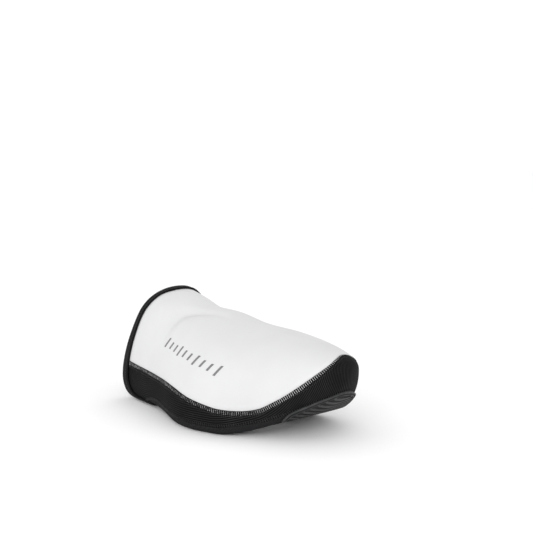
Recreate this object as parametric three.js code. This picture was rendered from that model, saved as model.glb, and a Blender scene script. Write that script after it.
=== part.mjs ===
// Cycling toe cover for one right shoe: a hollow cloth cap over the front of the foot, open to the rear.
// Millimetres. Toe towards -Y, opening towards +Y, inner (medial) side +X, up +Z, ground at z = 0.
import * as THREE from 'three';

const WALL = 2;               // cloth thickness
const GAP = 0.3;              // clearance kept between neighbouring pieces
const HEM_GAP = 0.6;          // the same along the sole seam, which crosses the tight lower corner
const BINDING_CLOTH = 1;      // thickness of the binding on each side of the cloth
const FOLD_GAP = 0.5;         // clearance between the cloth and the binding folded round it
const FOLD = BINDING_CLOTH + FOLD_GAP;    // how far the panels stay in front of the bound edge
const SOLE_CORNER = 7;        // inset of the flat sole from the widest outline
const CORNER_ROUND = 2.2;     // superellipse exponent of the lower corner
const TOE_SPRING = 36;        // lift of the sole at the toe tip
const SPRING_POWER = 1.65;    // how late the lift begins
const BED = { depth: 0.7, y: -60, ramp: 8 };  // the sole is set back where the toe patch lies
const PATCH_WALL = 1.1;       // rubber thickness in the field of the patch
const PATCH_RIM = 1.5;        // rubber thickness at its rim
const PATCH_GAP = 0.5;        // clearance between the faceted rubber and the faceted cloth under it
const CENTRE = { x: 3.8, y: -4.6 };     // moves the middle of the outline to the origin
const CLEAT_OPENING = { x: -4, y: -4, halfWidth: 29, halfLength: 37, round: 2.6 };
const ARCH_BOW = 3;           // how far the edge under the arch bows forward

// Cross-sections from the ball of the foot back to the opening. Side widths are measured from x = 0,
// heights of the widest outline (rim) and of the upper seam from the sole.
const SECTIONS = [
  { y: -28, lateral: 52.7, medial: 47.5, spine: 9.9, crest: 71.7, sole: 0, rim: 19.1,
    roundLat: 1.93, roundMed: 2.01, seamLat: 20.6, seamMed: 35.1 },
  { y: -8, lateral: 57.9, medial: 45.1, spine: 5.7, crest: 74.4, sole: 0, rim: 19.8,
    roundLat: 1.96, roundMed: 2.04, seamLat: 24.8, seamMed: 32.6 },
  { y: 14, lateral: 56.5, medial: 43.0, spine: 2.7, crest: 79.6, sole: 0, rim: 20.8,
    roundLat: 1.90, roundMed: 2.02, seamLat: 29.3, seamMed: 30.1 },
  { y: 38, lateral: 49.6, medial: 41.7, spine: 0.9, crest: 81.6, sole: 2.2, rim: 22.3,
    roundLat: 1.92, roundMed: 2.00, seamLat: 28.5, seamMed: 28.1 },
  { y: 64, lateral: 43.0, medial: 41.8, spine: 0.1, crest: 88.6, sole: 3.4, rim: 24.2,
    roundLat: 2.06, roundMed: 2.10, seamLat: 27.8, seamMed: 27.2 },
  { y: 92, lateral: 37.2, medial: 42.4, spine: 1.2, crest: 94.4, sole: 1.6, rim: 25.5,
    roundLat: 1.99, roundMed: 2.23, seamLat: 30.2, seamMed: 27.2 },
  { y: 120, lateral: 32.2, medial: 42.2, spine: 2.9, crest: 100.4, sole: 2.2, rim: 26.7,
    roundLat: 1.81, roundMed: 2.22, seamLat: 31.5, seamMed: 27.6 },
];
const BALL = SECTIONS[0];

// Toe ribs fan out from the ball of the foot: 0 degrees is the tip, positive is lateral.
const TOE = [
  { angle: -60, reach: 47.1, rim: 17.8, round: 1.99, seam: 39.0, hem: 0.47 },
  { angle: -30, reach: 62.5, rim: 16.0, round: 2.14, seam: 27.6, hem: 0.22 },
  { angle: 0, reach: 74.8, rim: 17.4, round: 2.32, seam: 23.7, hem: 0.12 },
  { angle: 30, reach: 63.2, rim: 15.2, round: 2.20, seam: 16.3, hem: 0.22 },
  { angle: 60, reach: 54.2, rim: 17.6, round: 2.01, seam: 14.2, hem: 0.47 },
];

// Seam of the sole: its place up the side against the share of the length from the rear edge.
const HEM = [
  { share: 0, place: -0.2 },
  { share: 0.03, place: 0 },
  { share: 0.06, place: 0.2 },
  { share: 0.085, place: 0.36 },
  { share: 0.11, place: 0.47 },
  { share: 0.14, place: 0.515 },
  { share: 0.18, place: 0.52 },
  { share: 0.25, place: 0.52 },
];

// Rear edge: y against the place up the side. 0 sole corner, 1 rim, 2 half way up, 3 crest.
const REAR_EDGE = [
  { place: -0.5, lateral: 64, medial: 63 },
  { place: -0.3, lateral: 77, medial: 76 },
  { place: -0.1, lateral: 91, medial: 89.5 },
  { place: 0.1, lateral: 102.5, medial: 100.5 },
  { place: 0.3, lateral: 108.5, medial: 106.5 },
  { place: 0.6, lateral: 112, medial: 110 },
  { place: 0.85, lateral: 111.6, medial: 109.6 },
  { place: 1.04, lateral: 109.3, medial: 107.3 },
  { place: 1.5, lateral: 102.2, medial: 98.5 },
  { place: 2, lateral: 96.2, medial: 91 },
  { place: 3, lateral: 82, medial: 82 },
];
const ARCH = REAR_EDGE[0].place;
// Length of cloth, in mm, of one unit of place near the rear edge.
const AROUND = [[-0.5, 10], [0.05, 10.5], [0.3, 19.5], [0.5, 28], [0.9, 43.5], [1.2, 52], [3, 33]];

// Edge binding from the crest to the middle of the arch: places of its outer and inner edge and y of
// the inner edge on both sides. Its outer edge is the rear edge.
const BINDING = [
  { outer: 3, inner: 3, lateral: 74.5, medial: 74.5 },
  { outer: 2.75, inner: 2.75, lateral: 76, medial: 75.5 },
  { outer: 2.5, inner: 2.5, lateral: 80.3, medial: 78.5 },
  { outer: 2.25, inner: 2.25, lateral: 84.5, medial: 81.3 },
  { outer: 2, inner: 2, lateral: 88.4, medial: 83.5 },
  { outer: 1.75, inner: 1.76, lateral: 91.2, medial: 86 },
  { outer: 1.5, inner: 1.53, lateral: 93.4, medial: 89.6 },
  { outer: 1.26, inner: 1.27, lateral: 96.2, medial: 93.2 },
  { outer: 1.04, inner: 1.05, lateral: 99.3, medial: 97.3 },
  { outer: 0.85, inner: 0.88, lateral: 101, medial: 99 },
  { outer: 0.68, inner: 0.75, lateral: 101.2, medial: 99.2 },
  { outer: 0.5, inner: 0.63, lateral: 100.2, medial: 98.2 },
  { outer: 0.3, inner: 0.51, lateral: 98.3, medial: 96.3 },
  { outer: 0.12, inner: 0.42, lateral: 95.6, medial: 93.6 },
  { outer: -0.04, inner: 0.35, lateral: 92, medial: 90 },
  { outer: -0.16, inner: 0.3, lateral: 87, medial: 85.5 },
  { outer: -0.27, inner: 0.27, lateral: 80.5, medial: 79.5 },
  { outer: -0.36, inner: 0.25, lateral: 74, medial: 73 },
  { outer: -0.44, inner: 0.2, lateral: 67.5, medial: 66.5 },
  { outer: -0.52, inner: 0.05, lateral: 61, medial: 60 },
  { outer: -0.7, inner: -0.35, lateral: 57, medial: 56 },
  { outer: -1.2, inner: -1.1, lateral: 55.5, medial: 54.5 },
  { outer: -2, inner: -2, lateral: 54.8, medial: 54 },
  { outer: -2.8, inner: -2.8, lateral: 54.1, medial: 53.7 },
];

// Soft dents (negative) and bulges in the upper: centre, half sizes and depth.
const RELIEF = [
  { side: -1, y: 40, place: 2.15, length: 8, height: 0.4, depth: -1.4 },
  { side: -1, y: 22, place: 2.7, length: 10, height: 0.16, depth: -1.2 },
  { side: -1, y: 14, place: 2.1, length: 14, height: 0.35, depth: 1.2 },
  { side: 1, y: 34, place: 2.2, length: 12, height: 0.4, depth: -1.4 },
  { side: 1, y: -10, place: 1.9, length: 14, height: 0.3, depth: -0.8 },
];

// Rubber patch under the toe: height of its upper border, as a share of the lower corner curve.
const PATCH = [
  { angle: -38, up: 0.23 },
  { angle: -33, up: 0.32 },
  { angle: -27, up: 0.34 },
  { angle: -21, up: 0.32 },
  { angle: -15, up: 0.27 },
  { angle: -5, up: 0.235 },
  { angle: 4, up: 0.23 },
  { angle: 10, up: 0.22 },
  { angle: 15, up: 0.25 },
  { angle: 21, up: 0.28 },
  { angle: 27, up: 0.32 },
  { angle: 33, up: 0.315 },
  { angle: 38, up: 0.23 },
];
const PATCH_REAR_Y = -66;     // where the patch ends under the sole
const PATCH_END = 5;          // degrees over which its two ends are rounded off

// Cubic spline through a table; an end slope that is left out is natural.
function spline(xs, ys, slopeStart, slopeEnd) {
  const n = xs.length;
  const a = [], b = [], c = [], d = [];
  for (let i = 0; i < n; i++) {
    const left = i > 0 ? 1 / (xs[i] - xs[i - 1]) : 0;
    const right = i < n - 1 ? 1 / (xs[i + 1] - xs[i]) : 0;
    a.push(left);
    b.push(2 * (left + right));
    c.push(right);
    const dl = i > 0 ? (ys[i] - ys[i - 1]) * left * left : 0;
    const dr = i < n - 1 ? (ys[i + 1] - ys[i]) * right * right : 0;
    d.push(3 * (dl + dr));
  }
  if (slopeStart !== undefined) [b[0], c[0], d[0]] = [1, 0, slopeStart];
  if (slopeEnd !== undefined) [a[n - 1], b[n - 1], d[n - 1]] = [0, 1, slopeEnd];
  for (let i = 1; i < n; i++) {
    const w = a[i] / b[i - 1];
    b[i] -= w * c[i - 1];
    d[i] -= w * d[i - 1];
  }
  const m = new Array(n);
  m[n - 1] = d[n - 1] / b[n - 1];
  for (let i = n - 2; i >= 0; i--) m[i] = (d[i] - c[i] * m[i + 1]) / b[i];
  const at = (x) => {
    let i = 0;
    while (i < n - 2 && x > xs[i + 1]) i++;
    const h = xs[i + 1] - xs[i];
    const t = (x - xs[i]) / h;
    const s = 1 - t;
    return ys[i] * s * s * (1 + 2 * t) + ys[i + 1] * t * t * (3 - 2 * t)
      + h * (m[i] * t * s * s - m[i + 1] * t * t * s);
  };
  at.slope = (x) => (at(x + 0.01) - at(x - 0.01)) / 0.02;
  return at;
}

const column = (rows, key) => rows.map((row) => row[key]);
const along = (key) => spline(column(SECTIONS, 'y'), column(SECTIONS, key));
const width = { '-1': along('lateral'), '1': along('medial') };
const round = { '-1': along('roundLat'), '1': along('roundMed') };
const seamHeight = { '-1': along('seamLat'), '1': along('seamMed') };
const [spineAt, crestAt, soleTable, rimAt] = ['spine', 'crest', 'sole', 'rim'].map(along);
const rearEdge = {
  '-1': spline(column(REAR_EDGE, 'place'), column(REAR_EDGE, 'lateral'), undefined, 0),
  '1': spline(column(REAR_EDGE, 'place'), column(REAR_EDGE, 'medial'), undefined, 0),
};

// A measure round the toe, joined smoothly to the straight part on both sides.
function roundToe(key, medial, lateral) {
  const rm = BALL.medial - BALL.spine;
  const rl = BALL.lateral + BALL.spine;
  const angles = [-90, ...column(TOE, 'angle'), 90].map(THREE.MathUtils.degToRad);
  const start = key === 'reach' ? rm : medial(BALL.y);
  const end = key === 'reach' ? rl : lateral(BALL.y);
  const values = [start, ...column(TOE, key), end];
  return spline(angles, values, -medial.slope(BALL.y + 0.02) * rm, lateral.slope(BALL.y + 0.02) * rl);
}
const sideHem = spline(column(HEM, 'share'), column(HEM, 'place'), undefined, 0);
const hemFlat = () => HEM[HEM.length - 1].place;
hemFlat.slope = () => 0;
const toeReach = roundToe('reach', width[1], width[-1]);
const toeRim = roundToe('rim', rimAt, rimAt);
const toeRound = roundToe('round', round[1], round[-1]);
const toeSeam = roundToe('seam', seamHeight[1], seamHeight[-1]);
const toeHem = roundToe('hem', hemFlat, hemFlat);

function soleHeight(y) {
  if (y >= BALL.y) return Math.max(0, soleTable(y));
  const ramp = THREE.MathUtils.clamp((BED.y - y) / BED.ramp, 0, 1);
  const bed = BED.depth * ramp * ramp * (3 - 2 * ramp);
  return bed + TOE_SPRING * ((BALL.y - y) / TOE[2].reach) ** SPRING_POWER;
}

function soleNormal(y) {
  return new THREE.Vector3(0, soleHeight(y + 0.5) - soleHeight(y - 0.5), -1).normalize();
}

// Straight lines through a table.
function between(table, x) {
  let i = 0;
  while (i < table.length - 2 && x > table[i + 1][0]) i++;
  const t = THREE.MathUtils.clamp((x - table[i][0]) / (table[i + 1][0] - table[i][0]), 0, 1);
  return table[i][1] + (table[i + 1][1] - table[i][1]) * t;
}

// Where the cloth starts when it stays a distance in front of the rear edge.
function rearStart(side, place, back) {
  const edge = rearEdge[side];
  const p = Math.max(place, ARCH);
  const slope = edge.slope(p) / between(AROUND, p);
  return Math.max(edge(p) - back * Math.sqrt(1 + slope * slope), edge(ARCH) - back);
}

// One rib of the cover: where it starts at the crest, its direction outwards and its measures.
function straightRib(side, y) {
  const r = width[side](y) - side * spineAt(y);
  return { side, x: spineAt(y), y, dx: side, dy: 0, r, crest: crestAt(y), slope: 0, rim: rimAt(y),
    round: round[side](y), seam: seamHeight[side](y), sole: soleHeight(y), relief: y };
}

function toeRib(side, psi) {
  const a = -side * psi;
  const r = toeReach(a);
  const dy = -Math.cos(psi);
  const drop = -crestAt.slope(BALL.y + 0.02) * Math.cos(psi);
  return { side, x: BALL.spine, y: BALL.y, dx: side * Math.sin(psi), dy, r, crest: BALL.crest,
    slope: drop,
    rim: toeRim(a), round: toeRound(a), seam: toeSeam(a), hem: toeHem(a),
    sole: soleHeight(BALL.y + dy * r), relief: BALL.y - 60 * Math.cos(psi) };
}

// A point of the outer skin on a rib. place: below 0 flat sole (10 mm steps inwards), 0 sole corner,
// 1 widest outline, 3 crest.
function onRib(rib, place) {
  let rho, z;
  if (place < 0) {
    rho = rib.r - SOLE_CORNER + 10 * place;
    z = soleHeight(rib.y + rib.dy * rho);
  } else if (place <= 1) {
    const b = place * Math.PI / 2;
    rho = rib.r - SOLE_CORNER + SOLE_CORNER * Math.sin(b) ** (2 / CORNER_ROUND);
    const c = Math.max(0, Math.cos(b));
    z = rib.sole + rib.rim * (1 - c ** (2 / CORNER_ROUND));
    z += (soleHeight(rib.y + rib.dy * rho) - rib.sole) * c * c;
  } else {
    const a = (3 - place) * Math.PI / 4;
    rho = rib.r * Math.sin(a) ** (2 / rib.round);
    const fall = rib.crest + rib.slope * rib.r - rib.sole - rib.rim;
    z = rib.crest + rib.slope * rho - fall * (1 - Math.max(0, Math.cos(a)) ** (2 / rib.round));
  }
  return new THREE.Vector3(rib.x + rib.dx * rho, rib.y + rib.dy * rho, z);
}

// Ribs along the cover: u 0 at the lateral rear edge, 0.5 at the toe tip, 1 at the medial rear edge.
// back is the distance in front of the rear edge at which the straight part starts.
const STRAIGHT = 0.25;
const COLUMNS = 72;           // facets along the cover, from rear edge to rear edge
function ribAt(u, place, back) {
  const side = u <= 0.5 ? -1 : 1;
  const t = side < 0 ? u : 1 - u;
  if (t > STRAIGHT) return toeRib(side, (0.5 - t) / (0.5 - STRAIGHT) * Math.PI / 2);
  const start = rearStart(side, place, back);
  const rib = straightRib(side, start + (BALL.y - start) * t / STRAIGHT);
  rib.hem = sideHem(t);
  return rib;
}

function bare(u, place, back) {
  return onRib(ribAt(u, place, back), place);
}

function reliefAt(rib, place) {
  let sum = 0;
  for (const r of RELIEF) {
    if (r.side !== rib.side) continue;
    const a = (rib.relief - r.y) / r.length;
    const b = (place - r.place) / r.height;
    sum += r.depth * Math.exp(-a * a - b * b);
  }
  return sum;
}

// Half length of the step that the direction of the skin is measured over. It is long for the inner
// face at the lower corner, so that the lining turns the tight corner without folding over.
function stepAt(place, lift) {
  return 0.015 + (lift < -1 ? 0.125 * THREE.MathUtils.clamp((1.3 - place) * 2.5, 0, 1) : 0);
}

// Outward direction of the skin.
function normalAt(u, place, back, lift) {
  if (place > 2.985) {
    const y = Math.max(ribAt(u, 3, back).y, BALL.y);
    return new THREE.Vector3(0, -crestAt.slope(y + 0.02), 1).normalize();
  }
  const step = stepAt(place, lift);
  if (place < 0.02 - (lift < -1 ? step : 0)) return soleNormal(bare(u, place, back).y);
  const p = lift < -1 ? place : Math.max(0.03, place);
  const e = 0.004;
  const du = bare(Math.min(1, u + e), p, back).sub(bare(Math.max(0, u - e), p, back));
  const low = lift < -1 ? p - step : Math.max(0, p - step);
  const dv = bare(u, Math.min(3, p + step), back).sub(bare(u, low, back));
  return du.cross(dv).normalize();
}

// Outer skin moved outwards by lift (inwards when negative).
function skin(u, place, lift, back = FOLD) {
  const rib = ribAt(u, place, back);
  const fade = Math.min(1, Math.max(0, (2.99 - place) * 5));
  const out = lift + fade * reliefAt(rib, place);
  return onRib(rib, place).addScaledVector(normalAt(u, place, back, lift), out);
}

// The place on a rib that lies a given height over the sole, and one shifted by some millimetres.
function placeOfHeight(u, height, back = FOLD) {
  let lo = 0.2, hi = 2.6;
  for (let i = 0; i < 40; i++) {
    const mid = (lo + hi) / 2;
    const rib = ribAt(u, mid, back);
    if (onRib(rib, mid).z - rib.sole < height(rib)) lo = mid;
    else hi = mid;
  }
  return (lo + hi) / 2;
}

function shifted(u, place, distance) {
  const step = bare(u, place + 0.02, FOLD).distanceTo(bare(u, place - 0.02, FOLD)) / 0.04;
  return place + distance / step;
}

// Grid of points over a patch of skin: at(i, j) gives [u, place]; kept for both faces of the wall.
function grid(nu, nv, at) {
  const rows = [];
  for (let i = 0; i <= nu; i++) {
    const row = [];
    for (let j = 0; j <= nv; j++) row.push(at(i / nu, j / nv));
    rows.push(row);
  }
  return rows;
}

// Closed wall between two faces made of the same grids; open borders are joined across the thickness.
function wall(outerGrids, innerGrids) {
  const points = [];
  const inner = [];
  const index = new Map();
  const faces = [];
  const vertex = (p, q) => {
    const key = `${p.x.toFixed(3)},${p.y.toFixed(3)},${p.z.toFixed(3)}`;
    if (!index.has(key)) {
      index.set(key, points.length);
      points.push(p);
      inner.push(q);
    }
    return index.get(key);
  };
  outerGrids.forEach((g, k) => {
    const ids = g.map((row, i) => row.map((p, j) => vertex(p, innerGrids[k][i][j])));
    for (let i = 0; i + 1 < ids.length; i++) {
      for (let j = 0; j + 1 < ids[i].length; j++) {
        const [a, b, c, d] = [ids[i][j], ids[i + 1][j], ids[i + 1][j + 1], ids[i][j + 1]];
        const short = g[i][j].distanceTo(g[i + 1][j + 1]) <= g[i + 1][j].distanceTo(g[i][j + 1]);
        const halves = short ? [[a, b, c], [a, c, d]] : [[a, b, d], [b, c, d]];
        faces.push(...halves.filter(([p, q, r]) => p !== q && q !== r && p !== r));
      }
    }
  });
  const n = points.length;
  const edges = new Set();
  for (const f of faces) for (let k = 0; k < 3; k++) edges.add(`${f[k]}_${f[(k + 1) % 3]}`);
  const all = [...faces, ...faces.map(([a, b, c]) => [a + n, c + n, b + n])];
  for (const f of faces) {
    for (let k = 0; k < 3; k++) {
      const [a, b] = [f[k], f[(k + 1) % 3]];
      if (edges.has(`${b}_${a}`)) continue;
      all.push([b, a, a + n], [b, a + n, b + n]);
    }
  }
  const geometry = new THREE.BufferGeometry();
  const flat = [...points, ...inner].flatMap((p) => [p.x, p.y, p.z]);
  geometry.setAttribute('position', new THREE.Float32BufferAttribute(flat, 3));
  geometry.setIndex(all.flat());
  geometry.computeVertexNormals();
  return geometry;
}

function mesh(name, geometry, colour, roughness) {
  const material = new THREE.MeshStandardMaterial({ color: colour, roughness, metalness: 0 });
  const made = new THREE.Mesh(geometry, material);
  made.name = name;
  return made;
}

const seamPlace = (u) => placeOfHeight(u, (rib) => rib.seam);

// White upper: from the seam on both sides up over the crest, cut to the rear edge.
function upperPanel() {
  const face = (lift) => grid(COLUMNS, 12, (i, j) => {
    const low = shifted(i, seamPlace(i), GAP / 2);
    return skin(i, low + (3 - low) * j, lift);
  });
  return mesh('upper_panel', wall([face(0)], [face(-WALL)]), 0xebebed, 0.75);
}

// Black band round the toe and along both sides, between the seam and the hem at the sole.
function sidePanel() {
  const face = (lift) => grid(COLUMNS, 13, (i, j) => {
    const high = shifted(i, seamPlace(i), -GAP / 2);
    const low = shifted(i, ribAt(i, 0.5, FOLD).hem, HEM_GAP / 2);
    return skin(i, low + (high - low) * j, lift);
  });
  return mesh('side_panel', wall([face(0)], [face(-WALL)]), 0x28282a, 0.85);
}

// Outline of the opening that leaves the shoe's cleat free, in the direction of a point of the sole.
function openingPoint(x, y) {
  const a = Math.atan2(y - CLEAT_OPENING.y, x - CLEAT_OPENING.x);
  const cx = Math.abs(Math.cos(a) / CLEAT_OPENING.halfWidth) ** CLEAT_OPENING.round;
  const cy = Math.abs(Math.sin(a) / CLEAT_OPENING.halfLength) ** CLEAT_OPENING.round;
  const r = (cx + cy) ** (-1 / CLEAT_OPENING.round);
  return [CLEAT_OPENING.x + r * Math.cos(a), CLEAT_OPENING.y + r * Math.sin(a)];
}

function onSole(p, share, lift) {
  const [x, y] = openingPoint(p.x, p.y);
  const q = new THREE.Vector3(x + (p.x - x) * share, y + (p.y - y) * share, 0);
  q.z = soleHeight(q.y);
  return q.addScaledVector(soleNormal(q.y), lift);
}

// Black underside: a flat web round the cleat opening and the turn up to the hem. Its rear border
// runs straight across under the arch, a little bowed.
function solePanel() {
  const [flat, bend, turn] = [8, 2, 5];
  const face = (lift) => grid(COLUMNS, flat + bend + turn, (i, j) => {
    const k = Math.round(j * (flat + bend + turn));
    if (k <= flat) return onSole(bare(i, ARCH, FOLD), k / flat, lift);
    const high = shifted(i, ribAt(i, 0.5, FOLD).hem, -HEM_GAP / 2);
    const corner = Math.min(0, high - 0.1);
    if (k <= flat + bend) return skin(i, ARCH + (corner - ARCH) * (k - flat) / bend, lift);
    return skin(i, corner + (high - corner) * (k - flat - bend) / turn, lift);
  });
  const rear = (lift) => grid(12, flat, (i, j) => {
    const p = bare(1, ARCH, FOLD).lerp(bare(0, ARCH, FOLD), i);
    p.y -= ARCH_BOW * 4 * i * (1 - i);
    return onSole(p, j, lift);
  });
  return mesh('sole_panel', wall([face(0), rear(0)], [face(-WALL), rear(-WALL)]), 0x242426, 0.9);
}

// A point of the skin behind the ball, at a distance y along the foot, moved outwards by lift.
function onSide(side, y, place, lift) {
  const rib = straightRib(side, y);
  const step = stepAt(place, lift);
  let out = soleNormal(y);
  if (place > 2.985) {
    out = new THREE.Vector3(0, -crestAt.slope(y), 1).normalize();
  } else if (place >= 0.02 - (lift < -1 ? step : 0)) {
    const p = lift < -1 ? place : Math.max(0.03, place);
    const ahead = onRib(straightRib(side, y - 0.5), p).sub(onRib(straightRib(side, y + 0.5), p));
    const climb = onRib(rib, Math.min(3, p + step)).sub(onRib(rib, p - step));
    out = ahead.cross(climb).multiplyScalar(-side).normalize();
  }
  const fade = Math.min(1, Math.max(0, (2.99 - place) * 5));
  return onRib(rib, place).addScaledVector(out, lift + fade * reliefAt(rib, place));
}

// Elastic binding folded over the whole rear edge: a U-section carried round the opening. Its points
// lie between the outer and the inner edge: millimetres up to HELD, then a share of the width.
const HELD = 1.5;
const BINDING_STEPS = 3;      // facets between two rows of the table
function bindingSection() {
  const out = FOLD_GAP + BINDING_CLOTH;
  const shares = [1, 0.75, 0.5, 0.25];
  const outer = shares.map((share) => [HELD + share, out]);
  outer.push([HELD, out], [0.7, out - 0.2], [0, 0.3]);
  const lining = shares.map((share) => [HELD + share, FOLD_GAP]);
  lining.push([BINDING_CLOTH, FOLD_GAP]);
  const under = (points) => points.map(([inset, lift]) => [inset, -WALL - lift]);
  return [...outer, ...under([...outer].reverse()), ...under(lining), ...lining.reverse()];
}

function bindingSide(side) {
  const rows = BINDING.map((_, k) => k);
  const key = side < 0 ? 'lateral' : 'medial';
  const tables = ['outer', 'inner', key].map((name) => spline(rows, column(BINDING, name)));
  const [outerAt, innerAt, yAt] = tables;
  const section = bindingSection();
  const rings = [];
  for (let k = 0; k <= (rows.length - 1) * BINDING_STEPS; k++) {
    const at = k / BINDING_STEPS;
    const [outer, inner] = [outerAt(at), innerAt(at)];
    const under = THREE.MathUtils.clamp((ARCH - outer) / 3, 0, 1);
    const start = rearEdge[side](Math.max(outer, ARCH)) - ARCH_BOW * Math.sin(under * Math.PI / 2);
    const point = (t, lift) =>
      onSide(side, start + (yAt(at) - start) * t, outer + (inner - outer) * t, lift);
    const run = [[0, 0]];
    for (let n = 1; n <= 24; n++) {
      const step = point(n / 24, 0).distanceTo(point((n - 1) / 24, 0));
      run.push([run[n - 1][0] + step, n / 24]);
    }
    const length = run[24][0];
    rings.push(section.map(([inset, lift]) => {
      const distance = inset <= HELD ? inset : HELD + (inset - HELD) * (length - HELD);
      return point(between(run, distance), lift);
    }));
  }
  return rings;
}

function rearBinding() {
  const rings = [...bindingSide(-1), ...bindingSide(1).reverse().slice(0, -1)];
  const count = rings.length;
  const size = rings[0].length;
  const faces = [];
  for (let k = 0; k < count; k++) {
    for (let s = 0; s < size; s++) {
      const [a, b] = [k * size + s, k * size + (s + 1) % size];
      const [c, d] = [((k + 1) % count) * size + (s + 1) % size, ((k + 1) % count) * size + s];
      faces.push([a, c, d], [a, b, c]);
    }
  }
  const flat = rings.flat().flatMap((p) => [p.x, p.y, p.z]);
  const geometry = new THREE.BufferGeometry();
  geometry.setAttribute('position', new THREE.Float32BufferAttribute(flat, 3));
  geometry.setIndex(faces.flat());
  geometry.computeVertexNormals();
  return mesh('rear_binding', geometry, 0x2c2c2e, 0.8);
}

// Lower and upper limit of the rubber patch on a toe rib, drawn together at its rounded ends.
function patchSpan(angle, upAt) {
  const rib = toeRib(angle > 0 ? -1 : 1, THREE.MathUtils.degToRad(Math.abs(angle)));
  const high = upAt(angle);
  const low = ((PATCH_REAR_Y - BALL.y) / rib.dy - rib.r + SOLE_CORNER) / 10;
  const end = Math.max(0, (Math.abs(angle) - PATCH[PATCH.length - 1].angle + PATCH_END) / PATCH_END);
  const share = Math.max(0.2, Math.sqrt(Math.max(0, 1 - end * end)));
  const middle = (low + high) / 2;
  return [middle + (low - middle) * share, middle + (high - middle) * share];
}

// Rubber patch under the toe: a raised rim round a thinner field.
function toePatch() {
  const upAt = spline(column(PATCH, 'angle'), column(PATCH, 'up'));
  const first = PATCH[0].angle;
  const last = PATCH[PATCH.length - 1].angle;
  const share = [0, 0.04, 0.055, 0.2, 0.35, 0.5, 0.57, 0.64, 0.71, 0.76, 0.88, 1];
  const columns = [0, 0.01, 0.022, 0.036, 0.045, 0.06];
  for (let k = 1; k < 28; k++) columns.push(0.06 + 0.88 * k / 28);
  columns.push(0.94, 0.955, 0.964, 0.978, 0.99, 1);
  const face = (base) => columns.map((i) => share.map((j) => {
    const angle = last + (first - last) * i;
    const u = 0.5 - angle / 90 * (0.5 - STRAIGHT);
    const [low, high] = patchSpan(angle, upAt);
    const corner = Math.max(0, low + 0.3 * (high - low));
    const place = j < 0.5 ? low + (corner - low) * j * 2 : corner + (high - corner) * (j * 2 - 1);
    const rim = Math.min(i, 1 - i) < 0.04 || j < 0.045 || j > 0.74;
    return skin(u, place, base ? PATCH_GAP : PATCH_GAP + (rim ? PATCH_RIM : PATCH_WALL));
  }));
  return mesh('toe_patch', wall([face(false)], [face(true)]), 0x4c4c4e, 0.7);
}

const cover = new THREE.Group();
cover.name = 'cycling_toe_cover';
cover.position.set(CENTRE.x, CENTRE.y, 0);
cover.add(upperPanel(), sidePanel(), solePanel(), rearBinding(), toePatch());
export default cover;
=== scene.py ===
"""Cycling toe cover for a right shoe, worn shape, standing by itself on a pale floor.

Metres in the scene, millimetres in the tables of the cloth shape. Toe towards -Y, opening +Y,
inner (medial) side of the foot +X.
"""

import math

import bpy
import numpy as np
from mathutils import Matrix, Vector


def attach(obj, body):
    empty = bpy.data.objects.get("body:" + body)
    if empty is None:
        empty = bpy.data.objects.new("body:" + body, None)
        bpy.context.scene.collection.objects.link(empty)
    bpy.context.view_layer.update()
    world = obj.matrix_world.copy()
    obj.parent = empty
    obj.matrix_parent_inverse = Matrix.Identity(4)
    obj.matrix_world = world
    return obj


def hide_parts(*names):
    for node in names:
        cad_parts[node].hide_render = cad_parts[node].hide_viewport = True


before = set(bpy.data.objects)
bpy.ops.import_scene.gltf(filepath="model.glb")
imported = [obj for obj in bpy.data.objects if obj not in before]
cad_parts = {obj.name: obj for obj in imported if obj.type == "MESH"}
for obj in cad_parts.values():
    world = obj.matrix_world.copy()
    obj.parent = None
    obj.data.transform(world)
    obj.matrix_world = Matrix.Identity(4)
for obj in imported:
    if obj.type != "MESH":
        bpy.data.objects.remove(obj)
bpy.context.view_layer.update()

# ------------ camera
# A long lens close to the floor, on the outer front quarter, looking a little down.
EYE = Vector((-0.4592, -0.5440, 0.1926))
HEADING = math.radians(47.76)
LOOKS_DOWN = math.radians(6.16)
LENS, SENSOR = 63.33, 36  # mm


def new_object(name, data):
    made = bpy.data.objects.new(name, data)
    bpy.context.scene.collection.objects.link(made)
    return made


def aim(thing, direction):
    thing.rotation_mode = "QUATERNION"
    thing.rotation_quaternion = direction.to_track_quat("-Z", "Y")


camera = new_object("camera", bpy.data.cameras.new("camera"))
bpy.context.scene.camera = camera
camera.location = EYE
level, down = math.cos(LOOKS_DOWN), math.sin(LOOKS_DOWN)
aim(camera, Vector((math.cos(HEADING) * level, math.sin(HEADING) * level, -down)))
camera.data.sensor_width = SENSOR
camera.data.lens = LENS
camera.data.clip_start = 0.01
camera.data.clip_end = 100
bpy.context.scene.view_settings.view_transform = "Standard"

# ------------ floor and light
# A plain pale floor, one large soft light behind the camera on its left, and bright surroundings
# that are dimmer overhead.
FLOOR_COLOUR, FLOOR_ROUGHNESS, FLOOR_HALF = (0.99, 0.99, 0.99), 0.9, 30.0
SOFTBOX = {"place": (-1.5, -1.0, 0.8), "target": (0, 0, 0.05), "size": (1.4, 1.0), "power": 11}
SKY_COLOUR = (1, 1, 1)
SKY_HEIGHTS = (0.25, 1.0)  # how far up a direction points where the dimming starts and ends
SKY_STRENGTHS = (1.24, 0.84)  # up to the first height, and straight up


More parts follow.
